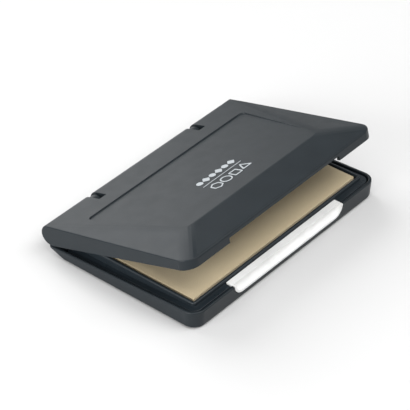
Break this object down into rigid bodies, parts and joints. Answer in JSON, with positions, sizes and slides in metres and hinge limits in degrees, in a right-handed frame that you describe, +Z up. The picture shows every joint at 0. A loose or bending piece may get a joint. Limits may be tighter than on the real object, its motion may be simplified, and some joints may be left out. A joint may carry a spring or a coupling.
{
  "type": "ink pad",
  "caption": "Flat hinged ink pad: a moulded plastic case with a sloping lid, a cloth-covered felt pad in a dark frame and a pale strip along its front edge.",
  "frame": {"origin": "under the middle of the case, on the surface that its rubber feet stand on", "axes": "+X along the hinge, to the right seen from the front; +Z up; -Y is the front, where the pale strip is and where the lid lifts"},
  "size_m": [0.1014, 0.0699, 0.0285],
  "materials": {
    "case_plastic": "satin charcoal, moulded",
    "insert_plastic": "smooth, very dark",
    "strip_plastic": "smooth white",
    "felt": "pressed wool felt",
    "cover_cloth": "fine woven cloth, beige",
    "liner_plastic": "fine texture",
    "pin_steel": "turned",
    "foot_rubber": "matt",
    "mark_print": "light grey print"
  },
  "bodies": {
    "base": {"base_tray": "case_plastic", "pad_frame": "insert_plastic", "felt_core": "felt", "pad_cover": "cover_cloth", "index_strip": "strip_plastic", "hinge_pin_left": "pin_steel", "hinge_pin_right": "pin_steel", "rubber_foot_1": "foot_rubber", "rubber_foot_2": "foot_rubber", "rubber_foot_3": "foot_rubber", "rubber_foot_4": "foot_rubber"},
    "lid": {"lid_shell": "case_plastic", "lid_liner": "liner_plastic", "lid_emblem": "mark_print"}
  },
  "joints": [
    {"name": "lid_hinge", "type": "hinge", "parent": "base", "child": "lid", "pos_m": [0, 0.03095, 0.0083], "axis": [-1, 0, 0], "range_deg": [-15.25, 164.75]}
  ]
}
